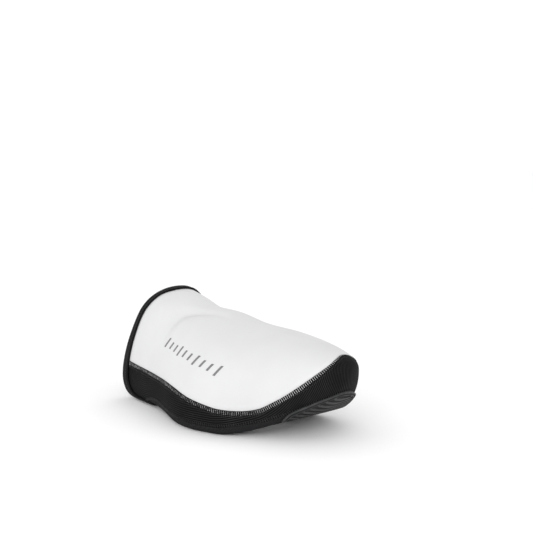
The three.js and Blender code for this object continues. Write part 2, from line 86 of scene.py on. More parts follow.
class Signal:
    """A value that flows through a node tree; operators on numbers add Math nodes."""

    def __init__(self, nodes, socket):
        self.nodes, self.socket = nodes, socket

    def math(self, operation, *values):
        return self.nodes.node("ShaderNodeMath", {"operation": operation}, *values)

    def __add__(self, other):
        return self.math("ADD", self, other)

    __radd__ = __add__

    def __sub__(self, other):
        return self.math("SUBTRACT", self, other)

    def __rsub__(self, other):
        return self.math("SUBTRACT", other, self)

    def __mul__(self, other):
        return self.math("MULTIPLY", self, other)

    __rmul__ = __mul__

    def wave(self, period):
        """0 to 1 and back once every period."""
        return self.math("SINE", self * (2 * math.pi / period)) * 0.5 + 0.5

    def smooth(self, low, high, before=0.0, after=1.0):
        """Eases from one level to the next between two values."""
        settings = {"interpolation_type": "SMOOTHSTEP", "clamp": True}
        return self.nodes.node("ShaderNodeMapRange", settings, self, low, high, before, after)


class Nodes:
    """A node tree that is being put together."""

    def __init__(self, tree):
        self.tree = tree

    def node(self, kind, settings=None, *values, output=0, **named):
        """Adds a node: its type, its settings, and the values or links of its sockets."""
        made = self.tree.nodes.new(kind)
        for key, value in (settings or {}).items():
            setattr(made, key, value)
        for key, value in enumerate(values):
            self.feed(made.inputs[key], value)
        for key, value in named.items():
            self.feed(made.inputs[key.replace("_", " ")], value)
        return Signal(self, made.outputs[output]) if made.outputs else None

    def feed(self, socket, value):
        if isinstance(value, Signal):
            self.tree.links.new(value.socket, socket)
        elif value is not None:
            socket.default_value = (*value, 1) if socket.type == "RGBA" else value

    def along(self, where, axis):
        """One coordinate of a place."""
        return self.node("ShaderNodeSeparateXYZ", None, where, output=axis)


class Finish(Nodes):
    """A procedural material that is being put together."""

    def __init__(self, name):
        self.material = bpy.data.materials.new(name)
        self.material.use_nodes = True
        super().__init__(self.material.node_tree)

    def place(self):
        return self.node("ShaderNodeTexCoord", output="Object")

    def cloth(self):
        """Distance along and up the cloth, in metres."""
        uv = self.node("ShaderNodeUVMap", {"uv_map": "cloth"})
        return self.along(uv, "X"), self.along(uv, "Y")

    def grain(self, where, scale, detail=2.0, roughness=0.5):
        values = {"Vector": where, "Scale": scale, "Detail": detail, "Roughness": roughness}
        return self.node("ShaderNodeTexNoise", None, output="Fac", **values)

    def attribute(self, name):
        return self.node("ShaderNodeAttribute", {"attribute_name": name}, output="Fac")

    def mix(self, factor, first, second):
        """Mixes two colours, which are the sockets 6 and 7 of a Mix node."""
        colours = [factor, *[None] * 5, first, second]
        return self.node("ShaderNodeMix", {"data_type": "RGBA"}, *colours, output=2)

    def bump(self, height, distance, strength):
        values = {"Strength": strength, "Distance": distance, "Height": height}
        return self.node("ShaderNodeBump", None, **values)

    def finished(self, **values):
        """Feeds the shader's sockets, by their names in small letters, and hands over the material."""
        shader = self.tree.nodes["Principled BSDF"]
        sockets = {socket.name.lower().replace(" ", "_"): socket for socket in shader.inputs}
        for key, value in values.items():
            self.feed(sockets[key], value)
        return self.material


def add_floor():
    mesh = bpy.data.meshes.new("floor")
    turns = ((-1, -1), (1, -1), (1, 1), (-1, 1))
    mesh.from_pydata([(x * FLOOR_HALF, y * FLOOR_HALF, 0) for x, y in turns], [], [(0, 1, 2, 3)])
    paint = Finish("floor").finished(base_color=FLOOR_COLOUR, roughness=FLOOR_ROUGHNESS)
    mesh.materials.append(paint)
    new_object("floor", mesh)


def add_light(name, place, target, size, power):
    lamp = bpy.data.lights.new(name, "AREA")
    lamp.shape = "RECTANGLE"
    lamp.size, lamp.size_y = size
    lamp.energy = power
    light = new_object(name, lamp)
    light.location = place
    aim(light, Vector(target) - Vector(place))


def add_surroundings():
    studio = bpy.data.worlds.new("studio")
    bpy.context.scene.world = studio
    studio.use_nodes = True
    sky = Nodes(studio.node_tree)
    upward = sky.along(sky.node("ShaderNodeTexCoord", output="Generated"), "Z")
    background = sky.tree.nodes["Background"]
    sky.feed(background.inputs["Color"], SKY_COLOUR)
    sky.feed(background.inputs["Strength"], upward.smooth(*SKY_HEIGHTS, *SKY_STRENGTHS))


add_floor()
add_light("front_softbox", **SOFTBOX)
add_surroundings()

# ------------ upper panel
# White windproof softshell: a stretch face, a membrane and a brushed back in one soft, smooth cloth
# about 1 mm thick. Cut from one piece over the top of the foot, pulled into shape by the shoe, and
# sewn edge to edge to the black side band.
WALL = 2.0  # cloth thickness of the solids, mm
GAP = 0.3  # slit between neighbouring panels, mm
FOLD = 1.45  # how far the panels stay in front of the bound edge, mm
SOLE_CORNER = 7.0  # inset of the flat sole from the widest outline, mm
CORNER_ROUND = 2.2  # superellipse exponent of the lower corner
TOE_SPRING, SPRING_POWER = 36.0, 1.65  # lift of the sole at the toe tip, mm, and how late it comes
BED_DEPTH, BED_Y, BED_RAMP = 0.7, -60.0, 8.0  # the sole is set back where the toe patch lies, mm
STRAIGHT = 0.25  # share of the length on each side before the toe begins
CENTRE = (3.8, -4.6)  # moves the middle of the outline to the origin, mm
CREST = 3  # place of the line where both sides meet on top
FLAT_UNIT = 10.0  # flat sole for one unit of place, mm
TOE_RUN = 60.0  # how far ahead of the ball the dents take the tip to be, mm
NUDGE = 0.02  # slopes at the ball are taken this far behind it, on the straight part, mm
HALF_MM = 0.5  # half the stretch that slopes along the foot are taken over, mm

# y, lateral and medial half width, crest line, crest, sole, widest outline, rounding, seam height
SECTION_NAMES = "y lateral medial spine crest sole rim round_l round_m seam_l seam_m".split()
SECTIONS = np.array([
    (-28, 52.7, 47.5, 9.9, 71.7, 0.0, 19.1, 1.93, 2.01, 20.6, 35.1),
    (-8, 57.9, 45.1, 5.7, 74.4, 0.0, 19.8, 1.96, 2.04, 24.8, 32.6),
    (14, 56.5, 43.0, 2.7, 79.6, 0.0, 20.8, 1.90, 2.02, 29.3, 30.1),
    (38, 49.6, 41.7, 0.9, 81.6, 2.2, 22.3, 1.92, 2.00, 28.5, 28.1),
    (64, 43.0, 41.8, 0.1, 88.6, 3.4, 24.2, 2.06, 2.10, 27.8, 27.2),
    (92, 37.2, 42.4, 1.2, 94.4, 1.6, 25.5, 1.99, 2.23, 30.2, 27.2),
    (120, 32.2, 42.2, 2.9, 100.4, 2.2, 26.7, 1.81, 2.22, 31.5, 27.6),
])
# toe ribs: angle from the tip (lateral positive), reach, widest outline, rounding, seam, sole hem
TOE_NAMES = "angle reach rim round seam hem".split()
TOE = np.array([
    (-60, 47.1, 17.8, 1.99, 39.0, 0.47),
    (-30, 62.5, 16.0, 2.14, 27.6, 0.22),
    (0, 74.8, 17.4, 2.32, 23.7, 0.12),
    (30, 63.2, 15.2, 2.20, 16.3, 0.22),
    (60, 54.2, 17.6, 2.01, 14.2, 0.47),
])
# sole seam: share of the length, place; it runs down to the edge behind the ball
HEM = np.array(
    [(0, -0.2), (0.03, 0.0), (0.06, 0.2), (0.085, 0.36), (0.11, 0.47)]
    + [(0.14, 0.515), (0.18, 0.52), (0.25, 0.52)]
)
# rear edge: place up the side (0 sole corner, 1 widest, 3 crest), y lateral, y medial
REAR_EDGE = np.array([
    (-0.5, 64.0, 63.0),
    (-0.3, 77.0, 76.0),
    (-0.1, 91.0, 89.5),
    (0.1, 102.5, 100.5),
    (0.3, 108.5, 106.5),
    (0.6, 112.0, 110.0),
    (0.85, 111.6, 109.6),
    (1.04, 109.3, 107.3),
    (1.5, 102.2, 98.5),
    (2.0, 96.2, 91.0),
    (3.0, 82.0, 82.0),
])
# millimetres of cloth for one unit of place, near the rear edge
AROUND = np.array([(-0.5, 10), (0.05, 10.5), (0.3, 19.5), (0.5, 28), (0.9, 43.5), (1.2, 52), (3, 33)])
# soft dents and bulges: side, y, place, half length, half height, depth in mm
RELIEF = [
    (-1, 49, 1.82, 6, 0.20, -1.4),
    (-1, 49, 2.02, 5.5, 0.18, -2.2),
    (-1, 48, 2.20, 5.5, 0.16, -2.5),
    (-1, 46, 2.36, 6, 0.14, -2.5),
    (-1, 42, 2.49, 6, 0.11, -2.5),
    (-1, 35, 2.59, 7, 0.10, -2.2),
    (-1, 25, 2.67, 8, 0.09, -1.7),
    (-1, 12, 2.74, 9, 0.08, -1.0),
    (-1, 64, 2.30, 11, 0.30, 1.8),
    (-1, 18, 2.25, 15, 0.30, 1.0),
    (-1, 66, 1.90, 14, 0.35, 0.6),
    (-1, 96, 1.70, 12, 0.30, -0.6),
    (1, 34, 2.20, 12, 0.40, -1.4),
    (1, -10, 1.90, 14, 0.30, -0.8),
    (1, 60, 1.80, 16, 0.30, 0.7),
]


class Spline:
    """Cubic spline through a table; an end slope that is left out is natural."""

    def __init__(self, xs, ys, start=None, end=None):
        self.xs, self.ys = np.asarray(xs, float), np.asarray(ys, float)
        step = 1 / np.diff(self.xs)
        rise = 3 * (np.diff(self.ys) * step**2)
        matrix = np.diag(step, 1) + np.diag(step, -1)
        matrix += np.diag(2 * (np.append(step, 0) + np.append(0, step)))
        right = np.append(rise, 0) + np.append(0, rise)
        for row, slope in ((0, start), (-1, end)):
            if slope is not None:
                matrix[row] = 0
                matrix[row, row] = 1
                right[row] = slope
        self.slopes = np.linalg.solve(matrix, right)

    def __call__(self, x):
        x = np.asarray(x, float)
        i = np.clip(np.searchsorted(self.xs, x, side="right") - 1, 0, len(self.xs) - 2)
        h = self.xs[i + 1] - self.xs[i]
        t = (x - self.xs[i]) / h
        s = 1 - t
        flat = self.ys[i] * s * s * (1 + 2 * t) + self.ys[i + 1] * t * t * (3 - 2 * t)
        return flat + h * (self.slopes[i] * t * s * s - self.slopes[i + 1] * t * t * s)

    def slope(self, x, half=0.01):
        return (self(np.asarray(x) + half) - self(np.asarray(x) - half)) / (2 * half)


along = {
    name: Spline(SECTIONS[:, 0], SECTIONS[:, k]) for k, name in enumerate(SECTION_NAMES) if k
}
BALL = dict(zip(SECTION_NAMES, SECTIONS[0]))
rear_lateral = Spline(REAR_EDGE[:, 0], REAR_EDGE[:, 1], end=0)
rear_medial = Spline(REAR_EDGE[:, 0], REAR_EDGE[:, 2], end=0)
ARCH = REAR_EDGE[0, 0]  # place where the cloth ends under the arch
TIP_REACH = TOE[len(TOE) // 2, TOE_NAMES.index("reach")]


def round_toe(name, medial, lateral):
    """A measure round the toe that joins the straight part smoothly on both sides."""
    reach_m, reach_l = BALL["medial"] - BALL["spine"], BALL["lateral"] + BALL["spine"]
    first, last = (reach_m, reach_l) if name == "reach" else (medial(BALL["y"]), lateral(BALL["y"]))
    values = np.concatenate([[first], TOE[:, TOE_NAMES.index(name)], [last]])
    angles = np.radians(np.concatenate([[-90], TOE[:, 0], [90]]))
    at = BALL["y"] + NUDGE
    return Spline(angles, values, -medial.slope(at) * reach_m, lateral.slope(at) * reach_l)


side_hem = Spline(HEM[:, 0], HEM[:, 1], end=0)
# the last place of the hem, level all along the foot
level_hem = Spline([-40, 130], [HEM[-1, 1], HEM[-1, 1]])
toe = {
    "reach": round_toe("reach", along["medial"], along["lateral"]),
    "rim": round_toe("rim", along["rim"], along["rim"]),
    "round": round_toe("round", along["round_m"], along["round_l"]),
    "seam": round_toe("seam", along["seam_m"], along["seam_l"]),
    "hem": round_toe("hem", level_hem, level_hem),
}


def smooth(x):
    """Eases from 0 to 1."""
    x = np.clip(x, 0, 1)
    return x * x * (3 - 2 * x)


def sole_height(y):
    lift = TOE_SPRING * (np.maximum(BALL["y"] - y, 0) / TIP_REACH) ** SPRING_POWER
    lift = lift + BED_DEPTH * smooth((BED_Y - y) / BED_RAMP)
    return np.where(y < BALL["y"], lift, np.maximum(0, along["sole"](np.maximum(y, BALL["y"]))))


def rear_start(edge, place):
    """Where the cloth starts, inside the bound rear edge."""
    place = np.maximum(place, ARCH)
    slope = edge.slope(place) / np.interp(place, AROUND[:, 0], AROUND[:, 1])
    return np.maximum(edge(place) - FOLD * np.sqrt(1 + slope * slope), edge(ARCH) - FOLD)


def rib_at(side, y, fan=False, psi=np.pi / 2):
    """Ribs of one side: straight across at y, or fanned round the ball at psi from the tip."""
    angle = -side * psi
    x = np.where(fan, BALL["spine"], along["spine"](y))
    y = np.where(fan, BALL["y"], y)
    width = np.where(side < 0, along["lateral"](y), along["medial"](y))
    reach = np.where(fan, toe["reach"](angle), width - side * x)
    dx, dy = np.where(fan, side * np.sin(psi), side), np.where(fan, -np.cos(psi), 0.0)

    def pick(name, lateral, medial):
        straight = np.where(side < 0, along[lateral](y), along[medial](y))
        return np.where(fan, toe[name](angle), straight)

    return {
        "side": side, "x": x, "y": y, "dx": dx, "dy": dy, "reach": reach,
        "tilt": np.where(fan, -along["crest"].slope(BALL["y"] + NUDGE) * np.cos(psi), 0.0),
        "crest": along["crest"](y),
        "rim": pick("rim", "rim", "rim"),
        "round": pick("round", "round_l", "round_m"),
        "seam": pick("seam", "seam_l", "seam_m"),
        "sole": sole_height(y + dy * reach),
        "relief_y": np.where(fan, BALL["y"] - TOE_RUN * np.cos(psi), y),
    }


def round_foot(u):
    """Side, share of the way from the rear to the tip and back, and angle from the tip, for u."""
    side = np.where(u <= 0.5, -1.0, 1.0)
    t = np.where(side < 0, u, 1 - u)
    return side, t, np.clip((0.5 - t) / (0.5 - STRAIGHT), 0, 1) * np.pi / 2


def ribs(u, place):
    """The ribs of the cover at u (0 lateral rear, 0.5 toe tip, 1 medial rear)."""
    side, t, psi = round_foot(u)
    starts = [rear_start(edge, place) for edge in (rear_lateral, rear_medial)]
    start = np.where(side < 0, *starts)
    y = start + (BALL["y"] - start) * np.minimum(t / STRAIGHT, 1)
    return rib_at(side, y, t > STRAIGHT, psi)


def on_rib(rib, place):
    """Points of the bare skin: place below 0 flat sole, 0 its corner, 1 widest outline, 3 crest."""
    rho_flat = rib["reach"] - SOLE_CORNER + FLAT_UNIT * place
    b = np.clip(place, 0, 1) * np.pi / 2
    c = np.maximum(0, np.cos(b))
    rho_low = rib["reach"] - SOLE_CORNER + SOLE_CORNER * np.sin(b) ** (2 / CORNER_ROUND)
    z_low = rib["sole"] + rib["rim"] * (1 - c ** (2 / CORNER_ROUND))
    z_low = z_low + (sole_height(rib["y"] + rib["dy"] * rho_low) - rib["sole"]) * c * c
    a = np.clip(CREST - place, 0, 2) * np.pi / 4
    rho_up = rib["reach"] * np.sin(a) ** (2 / rib["round"])
    fall = rib["crest"] + rib["tilt"] * rib["reach"] - rib["sole"] - rib["rim"]
    dome = 1 - np.maximum(0, np.cos(a)) ** (2 / rib["round"])
    z_up = rib["crest"] + rib["tilt"] * rho_up - fall * dome
    rho = np.where(place < 0, rho_flat, np.where(place <= 1, rho_low, rho_up))
    z_flat = sole_height(rib["y"] + rib["dy"] * rho_flat)
    z = np.where(place < 0, z_flat, np.where(place <= 1, z_low, z_up))
    return np.stack([rib["x"] + rib["dx"] * rho, rib["y"] + rib["dy"] * rho, z], -1)


def bare(u, place):
    return on_rib(ribs(u, place), place)


def unit(vectors):
    return vectors / np.maximum(np.linalg.norm(vectors, axis=-1, keepdims=True), 1e-9)


def sole_normal(y):
    slope = sole_height(y + HALF_MM) - sole_height(y - HALF_MM)
    return unit(np.stack([0 * slope, slope, 0 * slope - 1], -1))


RIB_STEP, STEP, LINING_STEP = 0.002, 0.012, 0.128  # half steps that directions are measured over
LOWEST, NEAR_CREST = 0.03, 2.985  # places between which directions are measured on the outer face
NEAR_SOLE = 0.02  # the flat sole's own direction holds below this place


def step_at(place, deep):
    """Half step up the cloth: longer for the lining at the tight lower corner."""
    return STEP + np.where(deep, LINING_STEP * np.clip((1.3 - place) * 2.5, 0, 1), 0)


def measured(place, deep):
    """The place where a direction is measured."""
    return np.where(deep, np.minimum(place, NEAR_CREST), np.clip(place, LOWEST, NEAR_CREST))


def settled(out, place, deep, crest_slope, ground):
    """Directions with those of the crest line and of the flat sole put in."""
    top = unit(np.stack([0 * crest_slope, -crest_slope, 0 * crest_slope + 1], -1))
    out = np.where((place > NEAR_CREST)[..., None], top, out)
    lowest = NEAR_SOLE - np.where(deep, step_at(place, deep), 0)
    return np.where((place < lowest)[..., None], ground, out)


def normals(u, place, deep=False):
    """Outward directions of the cloth; deep where it is the lining."""
    d, p = step_at(place, deep), measured(place, deep)
    low = np.where(deep, p - d, np.maximum(0, p - d))
    ahead = bare(np.minimum(1, u + RIB_STEP), p) - bare(np.maximum(0, u - RIB_STEP), p)
    climb = bare(u, np.minimum(CREST, p + d)) - bare(u, low)
    crest_y = np.maximum(ribs(u, 0 * u + CREST)["y"], BALL["y"]) + NUDGE
    ground = sole_normal(bare(u, place)[..., 1])
    out = unit(np.cross(ahead, climb))
    return settled(out, place, deep, along["crest"].slope(crest_y), ground)


def relief(rib, place):
    total = 0 * place
    for side, y, middle, length, height, depth in RELIEF:
        a = (rib["relief_y"] - y) / length
        b = (place - middle) / height
        total = total + np.where(rib["side"] == side, depth * np.exp(-a * a - b * b), 0)
    return total * np.clip((2.99 - place) * 5, 0, 1)  # nothing on the crest, where both sides meet


def skin(u, place, lift):
    """Points of the worn cloth, lift mm outside its outer face."""
    u, place = np.broadcast_arrays(np.asarray(u, float), np.asarray(place, float))
    rib = ribs(u, place)
    out = lift + relief(rib, place)
    deep = np.broadcast_to(np.asarray(lift) < -WALL / 2, place.shape)
    return on_rib(rib, place) + normals(u, place, deep) * out[..., None]


def per_unit(u, place, half=0.02):
    """Millimetres of cloth for one unit of place."""
    step = bare(u, place + half) - bare(u, place - half)
    return np.linalg.norm(step, axis=-1) / (2 * half)


def seam_place(u, lowest=0.2, highest=2.6, halvings=40):
    """Where the seam between the white and the black cloth lies on each rib."""
    low, high = np.full_like(u, lowest), np.full_like(u, highest)
    for _ in range(halvings):
        middle = (low + high) / 2
        rib = ribs(u, middle)
        below = on_rib(rib, middle)[..., 2] - rib["sole"] < rib["seam"]
        low, high = np.where(below, middle, low), np.where(below, high, middle)
    return (low + high) / 2


def hem_place(u):
    """Where the seam between the side band and the sole lies on each rib."""
    side, t, psi = round_foot(u)
    return np.where(t > STRAIGHT, toe["hem"](-side * psi), side_hem(np.minimum(t, STRAIGHT)))


MM = 0.001  # in metres


def to_metres(points):
    return (points + np.array([CENTRE[0], CENTRE[1], 0])) * MM


def running(steps, axis=0):
    """Running total along an axis, from 0."""
    start = np.zeros_like(np.take(steps, [0], axis))
    return np.concatenate([start, np.cumsum(steps, axis)], axis)


def lengths(points):
    """Distance along a row of points, in metres, measured from its middle."""
    run = running(np.linalg.norm(np.diff(points, axis=0), axis=1))
    return (run - run[len(run) // 2]) * MM


def climbs(points):
    """Distance up each column of a grid of points, in metres."""
    return running(np.linalg.norm(np.diff(points, axis=1), axis=2) * MM, 1)


def carry(mesh, name, values):
    """Stores a number or a vector at every point of a mesh."""
    values = np.asarray(values)
    kind, key = ("FLOAT_VECTOR", "vector") if values.ndim > 1 else ("FLOAT", "value")
    mesh.attributes.new(name, kind, "POINT").data.foreach_set(key, values.ravel())


def wall_mesh(name, outer, inner, uvs):
    """A closed cloth wall between two faces made of the same grids, with a UV map in metres."""
    points, backs, coords, index, faces = [], [], [], {}, []
    for grid, under, uv in zip(outer, inner, uvs):
        keys = np.round(grid, 4)
        ids = np.empty(grid.shape[:2], int)
        for i, j in np.ndindex(*ids.shape):
            key = tuple(keys[i, j])
            if key not in index:
                index[key] = len(points)
                points.append(grid[i, j])
                backs.append(under[i, j])
                coords.append(uv[i, j])
            ids[i, j] = index[key]
        corners = (ids[:-1, :-1], ids[1:, :-1], ids[1:, 1:], ids[:-1, 1:])
        for quad in np.stack(corners, -1).reshape(-1, 4):
            face = [int(q) for k, q in enumerate(quad) if q != quad[k - 1]]
            if len(face) > 2:
                faces.append(face)
    n = len(points)
    edges = {(f[k - 1], f[k]) for f in faces for k in range(len(f))}
    everything = faces + [[v + n for v in reversed(f)] for f in faces]
    for a, b in sorted(edges):
        if (b, a) not in edges:
            everything.append([b, a, a + n, b + n])
    mesh = bpy.data.meshes.new(name)
    mesh.from_pydata(to_metres(np.array(points + backs)).tolist(), [], everything)
    mesh.shade_smooth()
    corner_vertex = np.empty(len(mesh.loops), int)
    mesh.loops.foreach_get("vertex_index", corner_vertex)
    uv = np.array(coords + coords)[corner_vertex]
    mesh.uv_layers.new(name="cloth").data.foreach_set("uv", uv.ravel())
    carry(mesh, "inside", np.repeat([0.0, 1.0], n))
    return mesh


def add_piece(name, mesh, material, slot, *nodes):
    piece = new_object(name, mesh)
    mesh.materials.clear()
    mesh.materials.append(material)
    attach(piece, "root")
    if nodes:
        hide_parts(*nodes)


SOFTSHELL_WHITE = (0.655, 0.655, 0.66)
SOFTSHELL_SHADE = (0.632, 0.632, 0.637)
SOFTSHELL_BACK = (0.55, 0.55, 0.555)
KNIT_PITCH = 0.0007  # metres between the fine ribs of the stretch face


def softshell():
    f = Finish("white_softshell")
    where = f.place()
    u, v = f.cloth()
    knit = u.wave(KNIT_PITCH) * v.wave(KNIT_PITCH * 1.3)
    fuzz = f.grain(where, 1400.0, 3.0, 0.6)
    soft = f.grain(where, 28.0, 2.0)
    inside = f.attribute("inside")
    face = f.mix(soft.smooth(0.35, 0.75), SOFTSHELL_WHITE, SOFTSHELL_SHADE)
    return f.finished(
        base_color=f.mix(inside, face, SOFTSHELL_BACK),
        roughness=0.56 + fuzz * 0.16 + inside * 0.2,
        specular_ior_level=0.3,
        normal=f.bump(knit * 0.35 + fuzz * 0.65, 0.00006, 0.5),
    )


COLUMNS = np.linspace(0, 1, 321)  # from the lateral rear edge round the toe to the medial one
UPPER_ROWS = 84
EDGE_STEPS = np.array([0.0, 0.25, 0.6, 1.1, 1.8, 2.8])  # mm from a sewn edge
EDGE_DROP = 0.55  # how far a sewn edge turns in, mm
FAR = 9.0  # stands for any distance past the last of the steps, mm
PUCKER, PUCKER_PITCH = 0.10, 0.0052  # fine waves by the seam: depth in mm, pitch in metres
PUCKER_MIDDLE, PUCKER_FADE = 2.5, 6  # their distance from the seam in mm, and spread in mm squared


def edge_dip(distance):
    """The cloth dips into the seam: 1 at the edge, 0 about 3 mm away."""
    return np.clip(1 - distance / EDGE_STEPS[-1], 0, 1) ** 2


def panel_grid(low, high, rows, sewn_above):
    """Places from a sewn border up to another, close together at sewn ones, and their distances."""
    unit_low, unit_high = per_unit(COLUMNS, low + 0.05), per_unit(COLUMNS, high - 0.05)
    last = EDGE_STEPS if sewn_above else EDGE_STEPS[:1]
    parts = [low + d / unit_low for d in EDGE_STEPS]
    top = [high - d / unit_high for d in last[::-1]]
    parts += [parts[-1] + (top[0] - parts[-1]) * k / rows for k in range(1, rows)]
    places = np.stack(parts + top, -1)
    to_low = np.array([*EDGE_STEPS] + [FAR] * (places.shape[1] - len(EDGE_STEPS)))
    to_high = np.array([FAR] * (places.shape[1] - len(last)) + [*last[::-1]])
    return places, to_low, to_high


def grid_uv(points):
    """Along from the toe, up from the lower border, both in metres."""
    run, up = lengths(points[:, points.shape[1] // 3]), climbs(points)
    return np.stack([run[:, None] + 0 * up, up], -1)


def add_upper():
    seam = seam_place(COLUMNS)
    low = seam + GAP / 2 / per_unit(COLUMNS, seam)
    places, to_low, _ = panel_grid(low, CREST + 0 * COLUMNS, UPPER_ROWS, False)
    waves = np.sin(lengths(bare(COLUMNS, seam)) / PUCKER_PITCH * 2 * np.pi)
    pucker = PUCKER * waves[:, None] * np.exp(-((to_low - PUCKER_MIDDLE) ** 2) / PUCKER_FADE)
    outer = skin(COLUMNS[:, None], places, pucker - EDGE_DROP * edge_dip(to_low))
    inner = skin(COLUMNS[:, None], places, -WALL)
    half = len(COLUMNS) // 2
    for face in (outer, inner):
        face[::-1][:half, -1] = face[:half, -1]  # both sides share the points of the crest
    mesh = wall_mesh("white_upper", [outer], [inner], [grid_uv(outer)])
    add_piece("white_upper", mesh, softshell(), "white_softshell", "upper_panel")


add_upper()

# ------------ side panel
# Black abrasion-resistant stretch cloth with fine raised ribs, lengthwise on the sides and upright at
# the toe. A band from the rear edge on one side, round the toe, to the rear edge on the other, sewn
# to the upper and to the sole.
RIB_PITCH = 0.00165  # metres
SIDE_BLACK = (0.002, 0.002, 0.0022)
SIDE_RIB = (0.050, 0.050, 0.051)
SIDE_SHADE_SPAN = (-0.06, 0.02)  # metres along the foot between which the band is painted darker towards the rear: painted shade
BLACK_SHINE = 0.05  # specular level of the black cloths
SIDE_ROWS = 30
HEM_DIP = 0.6  # how far the lower edge turns in, as a share of the upper one
RIB_STRETCH, STRETCH_ANGLE = 0.28, 42  # spread of the ribs at the toe, and its reach in degrees
RIB_UPRIGHT = 4.0  # degrees round the toe at which the ribs stand upright
# degrees round the toe, and tilt of the ribs there
RIB_TILT = np.array([(0, 0), (8, 22), (16, 37), (23, 45), (30, 56), (42, 74), (60, 85), (86, 90)])


def ribbed_cloth():
    f = Finish("black_ribbed_cloth")
    where = f.place()
    u, v = f.cloth()
    wander = f.grain(where, 45.0, 2.0)
    rib = (u + wander * 0.0004).wave(RIB_PITCH)
    thread = (v + u * 0.35).wave(0.0011)
    speck = f.grain(where, 1700.0, 2.0, 0.7)
    raised = rib.smooth(0.5, 1.0)
    patchy = f.grain(where, 38.0, 3.0).smooth(0.3, 0.7)
    # painted shade: the band's colour falls by up to a half towards the rear
    painted_rear_shade = 1 - f.along(where, "Y").smooth(*SIDE_SHADE_SPAN) * 0.5
    tone = (raised * (0.4 + patchy * 0.5) * (0.8 + thread * 0.2) + speck * 0.05) * painted_rear_shade
    height = raised * 0.8 + thread * raised * 0.3 + speck * 0.25
    return f.finished(
        base_color=f.mix(tone, SIDE_BLACK, SIDE_RIB),
        roughness=0.62 + speck * 0.2,
        specular_ior_level=BLACK_SHINE,
        normal=f.bump(height, 0.00022, 0.9),
    )


def band_grain(points):
    """The band is cut from flat cloth: its ribs run lengthwise on the sides and up at the toe."""
    to_rear = np.minimum(COLUMNS, 1 - COLUMNS)
    fan = np.clip((0.5 - to_rear) / (0.5 - STRAIGHT), 0, 1) * 90
    angle = np.where(COLUMNS < 0.5, 1, -1) * fan - RIB_UPRIGHT
    tilt = np.radians(np.interp(np.abs(angle), *RIB_TILT.T) * np.sign(angle))
    step = np.linalg.norm(np.diff(points[:, points.shape[1] // 2], axis=0), axis=1) * MM
    spread = 1 - RIB_STRETCH * np.exp(-((angle / STRETCH_ANGLE) ** 2))
    turn = np.cos(tilt) * spread
    run, up = running(step * (turn[1:] + turn[:-1]) / 2), climbs(points)
    return np.stack([run[:, None] - (np.sin(tilt) * spread)[:, None] * up, up], -1)


def add_side():
    seam, hem = seam_place(COLUMNS), hem_place(COLUMNS)
    high = seam - GAP / 2 / per_unit(COLUMNS, seam)
    low = hem + GAP / 2 / per_unit(COLUMNS, hem)
    places, to_low, to_high = panel_grid(low, high, SIDE_ROWS, True)
    dip = EDGE_DROP * (edge_dip(to_high) + HEM_DIP * edge_dip(to_low))
    outer, inner = (skin(COLUMNS[:, None], places, lift) for lift in (-dip, -WALL))
    mesh = wall_mesh("black_side_band", [outer], [inner], [band_grain(outer)])
    add_piece("black_side_band", mesh, ribbed_cloth(), "black_side_fabric", "side_panel")


add_side()

# ------------ sole panel
# Black woven cloth under the foot with a hemmed opening for the cleat; it turns up to the hem seam.
ARCH_BOW = 3.0  # forward bow of the edge under the arch, mm
OPENING = {"x": -4.0, "y": -4.0, "half_width": 29.0, "half_length": 37.0, "round": 2.6}
# hem of the opening: share of the way to the sole's border, height of its lap in mm
LAP = np.array([(0, -0.35), (0.012, 0.1), (0.03, 0.3), (0.19, 0.3), (0.24, 0.1), (0.27, 0)])
FLAT_SHARES = np.array([0, 0.012, 0.03, 0.06, 0.12, 0.19, 0.24, 0.27, *np.linspace(0.32, 1, 14)])
SET_BACK, BORDER = 0.3, 0.9  # the flat sole lies this far inside its skin, mm, up to this share
# top of the turn-up: share of the way to the hem seam, dip into the seam in mm
TUCK = np.array([(0.94, 0.03), (0.97, 0.12), (0.99, 0.25), (1.0, 0.35)])
TURN_SHARES = np.concatenate([np.linspace(0, 0.49, 7)[1:], np.linspace(0.49, 0.9, 14)[1:], TUCK[:, 0]])
REAR_COLUMNS = 60
WEAVE = 0.0011  # metres
SOLE_BLACK = (0.009, 0.009, 0.0095)
SOLE_THREAD = (0.028, 0.028, 0.029)


def woven_cloth():
    f = Finish("black_woven_cloth")
    where = f.place()
    x, y = f.along(where, "X"), f.along(where, "Y")
    warp, weft = x.wave(WEAVE), y.wave(WEAVE)
    over = (x + y).wave(2 * WEAVE).smooth(0.4, 0.6)
    cloth = warp * over + weft * (1 - over)
    speck = f.grain(where, 1500.0, 2.0, 0.7)
    return f.finished(
        base_color=f.mix(cloth * 0.7 + speck * 0.3, SOLE_BLACK, SOLE_THREAD),
        roughness=0.7 + speck * 0.15,
        specular_ior_level=BLACK_SHINE,
        normal=f.bump(cloth + speck * 0.3, 0.0002, 0.8),
    )


def opening_point(points):
    """Where the rim of the opening lies in the direction of each point, seen from its middle."""
    a = np.arctan2(points[..., 1] - OPENING["y"], points[..., 0] - OPENING["x"])
    cx = np.abs(np.cos(a) / OPENING["half_width"]) ** OPENING["round"]
    cy = np.abs(np.sin(a) / OPENING["half_length"]) ** OPENING["round"]
    r = (cx + cy) ** (-1 / OPENING["round"])
    return OPENING["x"] + r * np.cos(a), OPENING["y"] + r * np.sin(a)


def on_sole(points, share, lift):
    """Between the cleat opening (share 0) and given points of the sole's border (share 1)."""
    x, y = opening_point(points)
    x = x + (points[..., 0] - x) * share
    y = y + (points[..., 1] - y) * share
    flat = np.stack([x, y, sole_height(y)], -1)
    return flat + sole_normal(y) * np.asarray(lift)[..., None]


